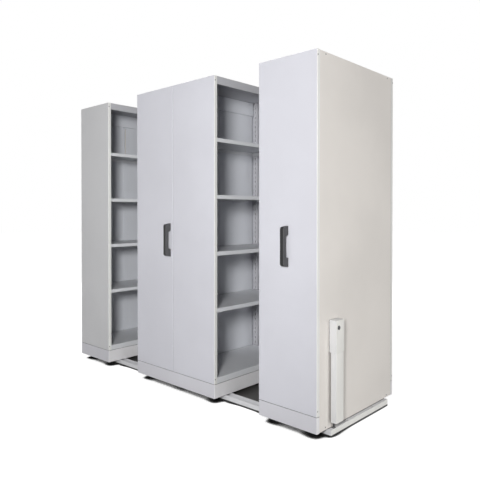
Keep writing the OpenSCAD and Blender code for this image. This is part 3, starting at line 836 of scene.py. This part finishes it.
class Workshop:
    """Holds the finishes, and gives each piece its body and its finish."""

    def __init__(self) -> None:
        """Builds the finishes and notes the body of every node."""
        effects = Effects()
        self.materials = {finish.slot: finish.build(effects) for finish in FINISHES}
        bodies = frame["record"]["behaviour"]["bodies"]
        self.bodies = {node: body for body, nodes in bodies.items() for node in nodes}

    def paint(self, slot: Slot, *nodes: str) -> None:
        """Gives CAD nodes a finish.

        Args:
            slot: The finish.
            nodes: The nodes' names.
        """
        for name in nodes:
            mesh = frame["nodes"][name].data
            mesh.materials.clear()
            mesh.materials.append(self.materials[slot])
            log.info("node %s: %s", name, slot.value)

    def fit(self, piece: bpy.types.Object, slot: Slot, *nodes: str) -> None:
        """Fits a new piece in the place of CAD nodes.

        Args:
            piece: The new piece.
            slot: Its finish.
            nodes: The nodes that it stands for, all on one body.
        """
        piece.data.materials.append(self.materials[slot])
        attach(piece, self.bodies[nodes[0]])
        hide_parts(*nodes)
        log.info("piece %s: %s, %d faces", piece.name, slot.value, len(piece.data.polygons))


@dataclass(frozen=True)
class PullHandle:
    """A moulded D handle that stands on a front panel.

    Attributes:
        node: The CAD node that it stands for.
        slope: How far its ends slope in, along the handle.
        nose: How deep its sloping nose is.
        grip: Half the length of the finger gap at the panel.
        grip_in: Half the length of the finger gap at the grip.
        gap: Depth of the finger gap.
        corner: Radius of its outer corners.
        gap_corner: Radius of the corners of the gap.
        edge: Radius of its edges.
        waist: How much narrower the grip is in the middle, as a share of its width.
        slices: Cuts that let the waist bend.
        facets: The facets across an outer corner, across a corner of the gap and across an edge.
        crease: Edges over this angle, in degrees, are rounded.
    """

    node: str
    slope: float = 6.5 * MM
    nose: float = 8.0 * MM
    grip: float = 68.0 * MM
    grip_in: float = 59.0 * MM
    gap: float = 22.0 * MM
    corner: float = 5.0 * MM
    gap_corner: float = 4.0 * MM
    edge: float = 2.4 * MM
    waist: float = 0.04
    slices: int = 14
    facets: tuple[int, int, int] = (6, 5, 4)
    crease: float = 50.0

    def outline(self, half: float, depth: float) -> list[tuple[float, float]]:
        """Gives the outline seen from the side.

        Args:
            half: Half the length of the handle.
            depth: How far it stands out.

        Returns:
            Corners as (distance from the panel, height over the middle).
        """
        end = half - self.slope
        upper = [(0.0, half), (depth - self.nose, end), (depth, end - self.nose)]
        inner = [(self.gap, self.grip_in), (0.0, self.grip)]
        lower = [(a, -b) for a, b in reversed(upper)]
        return upper + lower + [(a, -b) for a, b in reversed(inner)] + inner

    def side_face(self, bm: Mesh, low: Vector, high: Vector) -> None:
        """Draws the handle's left side, with its rounded corners, as one face.

        Args:
            bm: The mesh that gets the face.
            low: The lowest corner of the handle's box.
            high: The highest corner of the handle's box.
        """
        depth = high.y - low.y
        middle = (low.z + high.z) / 2
        outline = self.outline((high.z - low.z) / 2, depth)
        corners = [bm.verts.new((low.x, high.y - out, middle + up)) for out, up in outline]
        bm.faces.new(corners)
        front = [v for v in corners if high.y - v.co.y > depth - self.nose - MM]
        round_off(bm, front, self.corner, self.facets[0], "VERTICES")
        gap = [v for v in bm.verts if abs(high.y - v.co.y - self.gap) < NEAR
               and abs(abs(v.co.z - middle) - self.grip_in) < NEAR]
        round_off(bm, gap, self.gap_corner, self.facets[1], "VERTICES")

    def narrow_grip(self, bm: Mesh, centre: Vector) -> None:
        """Cuts the grip in slices and draws them in towards its middle.

        Args:
            bm: The mesh of the handle.
            centre: The middle of the handle's foot.
        """
        for i in range(1, self.slices):
            level = centre.z + self.grip * (2 * i / self.slices - 1)
            bmesh.ops.bisect_plane(bm, geom=bm.verts[:] + bm.edges[:] + bm.faces[:], dist=WELD,
                                   plane_co=(0, 0, level), plane_no=(0, 0, 1))
        for vert in bm.verts:
            along = min(1.0, abs(vert.co.z - centre.z) / self.grip)
            narrow = self.waist * math.cos(along * math.pi / 2) ** 2
            vert.co.x = centre.x + (vert.co.x - centre.x) * (1 - narrow)

    def build(self) -> bpy.types.Object:
        """Builds the handle in its place.

        Returns:
            The handle.
        """
        low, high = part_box(self.node)
        bm = bmesh.new()
        self.side_face(bm, low, high)
        grown = bmesh.ops.extrude_face_region(bm, geom=bm.faces[:])
        moved = [g for g in grown["geom"] if isinstance(g, bmesh.types.BMVert)]
        bmesh.ops.translate(bm, vec=(high.x - low.x, 0, 0), verts=moved)
        bmesh.ops.recalc_face_normals(bm, faces=bm.faces)
        sharp = [e for e in bm.edges if e.calc_face_angle(0.0) > math.radians(self.crease)
                 and min(high.y - v.co.y for v in e.verts) > NEAR]
        round_off(bm, sharp, self.edge, self.facets[2])
        self.narrow_grip(bm, Vector(((low.x + high.x) / 2, high.y, (low.z + high.z) / 2)))
        return to_object(bm, self.node.replace("_handle", "_pull_handle"))


@dataclass(frozen=True)
class ScrewSet:
    """The button head screws of one unit.

    Attributes:
        node: The CAD node that they stand for.
        shank: Radius of a shank.
        head: Radius of a head.
        tall: Height of a head.
        socket: Radius of the socket in a head.
        point: The tip's radius and the length of its slope, as shares of the shank's radius.
        dome: The flank of a head, as shares of its height and of its radius.
        floor: The floor of the socket, as shares of the head's height and of the socket's radius.
        steps: Facets round a screw.
    """

    node: str
    shank: float = 2.0 * MM
    head: float = 4.0 * MM
    tall: float = 1.5 * MM
    socket: float = 1.5 * MM
    point: Span = (0.7, 0.6)
    dome: tuple[Span, ...] = ((0.0, 0.97), (0.2, 1.0), (0.55, 0.86), (0.85, 0.66), (1.0, 0.48))
    floor: tuple[Span, ...] = ((1.0, 1.0), (0.4, 0.92), (0.3, 0.0))
    steps: int = 18

    def profile(self, length: float) -> list[tuple[float, float]]:
        """Gives a screw's profile from the tip of its shank to the floor of its socket.

        Args:
            length: The length of the whole screw.

        Returns:
            Points as (place along the axis, radius), with the seat of the head at 0.
        """
        tip = self.tall - length
        blunt, slope = self.point
        shank = [(tip, 0.0), (tip, blunt * self.shank), (tip + slope * self.shank, self.shank),
                 (0.0, self.shank)]
        dome = [(high * self.tall, wide * self.head) for high, wide in self.dome]
        return shank + dome + [(high * self.tall, wide * self.socket) for high, wide in self.floor]

    def build(self) -> bpy.types.Object:
        """Builds every screw of the unit in its place.

        Returns:
            The screws, as one piece.
        """
        bm = bmesh.new()
        for solid in islands(self.node):
            out = solid.head_side((self.shank + self.head) / 2)
            length = solid.high.x - solid.low.x
            tip = solid.high.x if out > 0 else solid.low.x
            place = Matrix.Translation((tip - out * self.tall, solid.middle.y, solid.middle.z))
            turn = Matrix.Identity(4) if out > 0 else Matrix.Rotation(math.pi, 4, "Z")
            lathe(bm, self.profile(length), place @ turn, self.steps)
        return to_object(bm, self.node.replace("_screws", "_button_screws"))


@dataclass(frozen=True)
class Buffers:
    """The two rubber buffers of a carriage, domed and with a groove behind the dome.

    Attributes:
        node: The CAD node that they stand for.
        flank: The flank with its groove, as shares of the length and of the radius.
        neck: The radius at the foot of the dome, as a share of the radius.
        dome: Where the dome starts and how tall it is, as shares of the length.
        fullness: How round the dome is. 1 makes an ellipse, and less makes it fuller.
        rings: The rings of facets that make the dome.
        steps: Facets round a buffer.
    """

    node: str
    flank: tuple[Span, ...] = ((0.0, 0.0), (0.0, 1.0), (0.22, 1.0), (0.3, 0.84), (0.42, 0.84), (0.5, 0.88))
    neck: float = 0.88
    dome: Span = (0.55, 0.45)
    fullness: float = 0.6
    rings: int = 5
    steps: int = 32

    def profile(self, length: float, radius: float) -> list[tuple[float, float]]:
        """Gives a buffer's profile from its seat to the tip of its dome.

        Args:
            length: The length of the buffer.
            radius: Its radius at the seat.

        Returns:
            Points as (place along the axis, radius).
        """
        start, tall = self.dome
        points = [(along * length, wide * radius) for along, wide in self.flank]
        for i in range(1, self.rings):
            angle = i * math.pi / (2 * self.rings)
            wide = self.neck * radius * math.cos(angle) ** self.fullness
            points.append((length * (start + tall * math.sin(angle)), wide))
        return points + [(length, 0.0)]

    def build(self) -> bpy.types.Object:
        """Builds both buffers in their place.

        Returns:
            The buffers, as one piece.
        """
        bm = bmesh.new()
        for solid in islands(self.node):
            length = solid.high.x - solid.low.x
            radius = (solid.high.z - solid.low.z) / 2
            place = Matrix.Translation((solid.high.x, solid.middle.y, solid.middle.z))
            lathe(bm, self.profile(length, radius), place @ Matrix.Rotation(math.pi, 4, "Z"), self.steps)
        return to_object(bm, self.node.replace("_buffers", "_domed_buffers"))


# Sub-assemblies


@dataclass(frozen=True)
class BaseFrame:
    """The low frame on the floor, with its tracks, bars and floor panel.

    Attributes:
        painted: The nodes with the frame's paint.
    """

    painted: tuple[str, ...] = ("front_track", "rear_track", "end_members")

    def dress(self, shop: Workshop) -> None:
        """Finishes the frame's nodes.

        Args:
            shop: The workshop with the finishes.
        """
        shop.paint(Slot.BASE, *self.painted)
        shop.paint(Slot.BAR, "running_bars")
        shop.paint(Slot.FLOOR_PANEL, "floor_panel")
        shop.paint(Slot.BLACK_STEEL, "track_stops", "bolt_keeper")
        shop.paint(Slot.ZINC, "levelling_screws")


@dataclass(frozen=True)
class ShelfUnit:
    """What the fixed unit and the two carriages have in common.

    Attributes:
        name: The unit's name, which starts the names of its nodes.
        front: The paint of its end panels.
        panels: Its end panels.
        frames: Its posts and top.
        backs: Its back sheets.
        shelves: Its shelves.
        covers: The cover of its closed side.
        plinth: Its plinth.
    """

    name: str
    front: Slot
    panels: tuple[str, ...]
    frames: tuple[str, ...]
    backs: tuple[str, ...]
    shelves: tuple[str, ...]
    covers: tuple[str, ...]
    plinth: str

    def nodes(self, parts: Iterable[str]) -> list[str]:
        """Puts the unit's name before each part's name."""
        return [f"{self.name}_{part}" for part in parts]

    def dress(self, shop: Workshop) -> None:
        """Finishes the unit's sheet metal and builds its screws.

        Args:
            shop: The workshop with the finishes.
        """
        shop.paint(self.front, *self.nodes(self.panels))
        shop.paint(Slot.FRAME, *self.nodes(self.frames))
        shop.paint(Slot.BACK, *self.nodes(self.backs))
        shop.paint(Slot.SHELF, *self.nodes(self.shelves))
        shop.paint(Slot.SIDE, *self.nodes(self.covers))
        shop.paint(Slot.PLINTH, *self.nodes([self.plinth]))
        shop.paint(Slot.ZINC, *self.nodes(["shelf_clips"]))
        screws = ScrewSet(f"{self.name}_screws")
        shop.fit(screws.build(), Slot.SCREW, screws.node)


@dataclass(frozen=True)
class RunningGear:
    """What a carriage rolls on, with its buffers and its handle.

    Attributes:
        name: The carriage's name.
        edge: Radius of the edges of the wheels.
    """

    name: str
    edge: float = 0.8 * MM

    def dress(self, shop: Workshop) -> None:
        """Rounds the wheels, finishes the gear, and builds the buffers and the handle.

        Args:
            shop: The workshop with the finishes.
        """
        for side in ("left", "right"):
            node = f"{self.name}_wheels_{side}"
            wheels = rounded_copy(node, f"{self.name}_grooved_wheels_{side}", self.edge)
            shop.fit(wheels, Slot.CAST, node)
            shop.paint(Slot.BAR, f"{self.name}_axle_{side}")
        shop.paint(Slot.CAST, f"{self.name}_bearings")
        buffers = Buffers(f"{self.name}_buffers")
        shop.fit(buffers.build(), Slot.RUBBER, buffers.node)
        handle = PullHandle(f"{self.name}_handle")
        shop.fit(handle.build(), Slot.HANDLE, handle.node)


@dataclass(frozen=True)
class FloorLock:
    """The key box, its lower cover, the cylinder and the bolt.

    Attributes:
        edge: Radius of the housing's folds.
        segments: The facets across a fold.
        crease: Edges over this angle, in degrees, are folds.
    """

    edge: float = 1.2 * MM
    segments: int = 3
    crease: float = 60.0

    def dress(self, shop: Workshop) -> None:
        """Rounds the housing and finishes the lock.

        Args:
            shop: The workshop with the finishes.
        """
        box = rounded_copy("lock_housing", "lock_key_box", self.edge, self.segments, self.crease)
        shop.fit(box, Slot.LOCK, "lock_housing")
        cover = rounded_copy("lock_lower_cover", "lock_bolt_cover", self.edge, self.segments, self.crease)
        shop.fit(cover, Slot.LOCK, "lock_lower_cover")
        shop.paint(Slot.CHROME, "lock_cylinder")
        shop.paint(Slot.BLACK_STEEL, "floor_bolt")


UNITS = (
    ShelfUnit("fixed", Slot.FIXED_PANEL, ("front_panel", "rear_panel"), ("posts", "top_panel"),
              ("back_panels",), ("shelves", "base_shelf"), ("side_cover",), "plinth"),
    ShelfUnit("double", Slot.PANEL, ("front_panel_left", "front_panel_right", "rear_panels"),
              ("posts", "top_panel"), ("partition",), ("shelves_left", "shelves_right", "base_shelves"),
              (), "chassis"),
    ShelfUnit("single", Slot.PANEL, ("front_panel", "rear_panel"), ("posts", "top_panel"),
              ("back_panels",), ("shelves", "base_shelf"), ("side_cover",), "chassis"),
)


# Studio


@dataclass(frozen=True)
class Viewpoint:
    """The photograph's camera.

    Attributes:
        eye: Where it stands.
        turn: How far it looks to the left of the rows' depth, in degrees.
        dip: How far it looks down, in degrees.
        focal_px: Its focal length in pixels of the image.
        centre_row: The row of pixels that its axis meets.
    """

    eye: Place = (2.8907, -2.8350, 1.2861)
    turn: float = 43.02
    dip: float = 0.57
    focal_px: float = 519.7
    centre_row: float = 218.0

    def build(self) -> None:
        """Makes the camera and hands it to the scene."""
        data = bpy.data.cameras.new("photo_camera")
        data.sensor_width = SENSOR_MM
        data.sensor_fit = "HORIZONTAL"
        data.lens = self.focal_px / IMAGE_PX * SENSOR_MM
        data.shift_y = (self.centre_row - IMAGE_PX / 2) / IMAGE_PX
        camera = bpy.data.objects.new("photo_camera", data)
        camera.location = self.eye
        camera.rotation_euler = (math.radians(90 - self.dip), 0, math.radians(self.turn))
        bpy.context.scene.collection.objects.link(camera)
        bpy.context.scene.camera = camera


@dataclass(frozen=True)
class SoftBox:
    """A square studio lamp.

    Attributes:
        name: The lamp's name.
        place: Where it hangs.
        aim: The point that it faces.
        size: The length of its side in metres.
        watts: Its power.
    """

    name: str
    place: Place
    aim: Place
    size: float
    watts: float

    def build(self) -> None:
        """Hangs the lamp."""
        data = bpy.data.lights.new(self.name, "AREA")
        data.size = self.size
        data.energy = self.watts
        lamp = bpy.data.objects.new(self.name, data)
        lamp.location = self.place
        look = Vector(self.aim) - Vector(self.place)
        lamp.rotation_euler = look.to_track_quat("-Z", "Y").to_euler()
        bpy.context.scene.collection.objects.link(lamp)


@dataclass(frozen=True)
class Studio:
    """The pale floor, the white surroundings and the lamps.

    Attributes:
        reach: Half the length of the floor's side.
        pale: The floor's colour.
        shade: The floor's colour where the row stands close over it.
        shade_reach: How far a piece that stands over the floor shades it, in metres.
        shade_span: The shares of open sky at which the shade is full and at which it ends.
        rays: The rays that find the shade.
        rough: The floor's roughness.
        sky: How bright the surroundings are to the object.
        glow: How much the floor adds for the camera alone, near the row and far from it.
        glow_from: How far from the row's middle these are, in metres.
        lamps: The lamps.
    """

    reach: float = 30.0
    pale: Colour = (0.62, 0.62, 0.62)
    shade: Colour = (0.02, 0.02, 0.02)
    shade_reach: float = 0.155
    shade_span: Span = (0.46, 0.6)
    rays: int = 48
    rough: float = 0.9
    sky: float = 0.05
    glow: Span = (0.86, 1.0)
    glow_from: Span = (1.2, 4.0)
    lamps: tuple[SoftBox, ...] = (
        SoftBox("key_lamp", (2.75, -3.5, 1.85), (-1.2, -2.9, 2.2), 0.7, 208.0),
        SoftBox("front_lamp", (-2.0, -7.0, 2.2), (-0.3, 0.0, 1.1), 2.0, 32.0),
        SoftBox("right_lamp", (5.4, 1.2, 1.0), (1.2, 0.0, 0.9), 1.6, 68.0),
        SoftBox("rear_lamp", (-4.4, 4.0, 1.1), (0.0, 0.0, 1.1), 2.0, 170.0),
    )

    @staticmethod
    def seen_directly(graph: Graph) -> Socket:
        """Tells what the camera sees, directly or in gloss or glass, from what lights the row.

        Args:
            graph: The material's graph.

        Returns:
            A value, 1 for what the camera sees and 0 for the light.
        """
        path = graph.add("ShaderNodeLightPath").outputs
        both = graph.reckon("MAXIMUM", path["Is Camera Ray"], path["Is Glossy Ray"])
        return graph.reckon("MAXIMUM", both, path["Is Transmission Ray"])

    def floor(self) -> bpy.types.Object:
        """Builds the floor.

        Returns:
            The floor with its material.
        """
        bm = bmesh.new()
        bmesh.ops.create_grid(bm, x_segments=1, y_segments=1, size=self.reach)
        floor = to_object(bm, "studio_floor")
        material = bpy.data.materials.new("studio_floor")
        material.use_nodes = True
        graph = Graph(material.node_tree)
        sockets = material.node_tree.nodes["Principled BSDF"].inputs
        reach = {"Distance": self.shade_reach}
        open_sky = graph.add("ShaderNodeAmbientOcclusion", reach, samples=self.rays)
        lit = graph.spread(open_sky.outputs["AO"], self.shade_span)
        graph.feed(sockets["Base Color"], graph.blend(lit, self.shade, self.pale))
        graph.feed(sockets["Roughness"], self.rough)
        graph.feed(sockets["Specular IOR Level"], 0.0)
        graph.feed(sockets["Emission Color"], WHITE)
        place = graph.add("ShaderNodeTexCoord").outputs["Object"]
        far = graph.add("ShaderNodeVectorMath", {0: place}, operation="LENGTH").outputs["Value"]
        seen = graph.times(self.seen_directly(graph), graph.spread(far, self.glow_from, self.glow))
        graph.feed(sockets["Emission Strength"], graph.times(seen, lit))
        floor.data.materials.append(material)
        return floor

    def sky_shader(self) -> None:
        """Makes the surroundings, white to the camera and at a plain level to the object."""
        world = bpy.data.worlds.new("studio")
        world.use_nodes = True
        bpy.context.scene.world = world
        graph = Graph(world.node_tree)
        level = graph.add("ShaderNodeMapRange", {
            "Value": self.seen_directly(graph), "To Min": self.sky, "To Max": 1.0,
        })
        background = world.node_tree.nodes["Background"]
        graph.feed(background.inputs["Strength"], level.outputs["Result"])
        graph.feed(background.inputs["Color"], WHITE)

    def build(self) -> None:
        """Builds the whole studio."""
        bpy.context.scene.view_settings.view_transform = "Standard"
        self.floor()
        self.sky_shader()
        for lamp in self.lamps:
            lamp.build()


def main() -> None:
    """Builds the row from the floor up, then the studio around it."""
    logging.basicConfig(level=logging.INFO, format="%(message)s", stream=sys.stdout)
    shop = Workshop()
    BaseFrame().dress(shop)
    for unit in UNITS:
        unit.dress(shop)
    for carriage in ("double", "single"):
        RunningGear(carriage).dress(shop)
    FloorLock().dress(shop)
    Studio().build()
    Viewpoint().build()


if __name__ == "__main__":
    main()
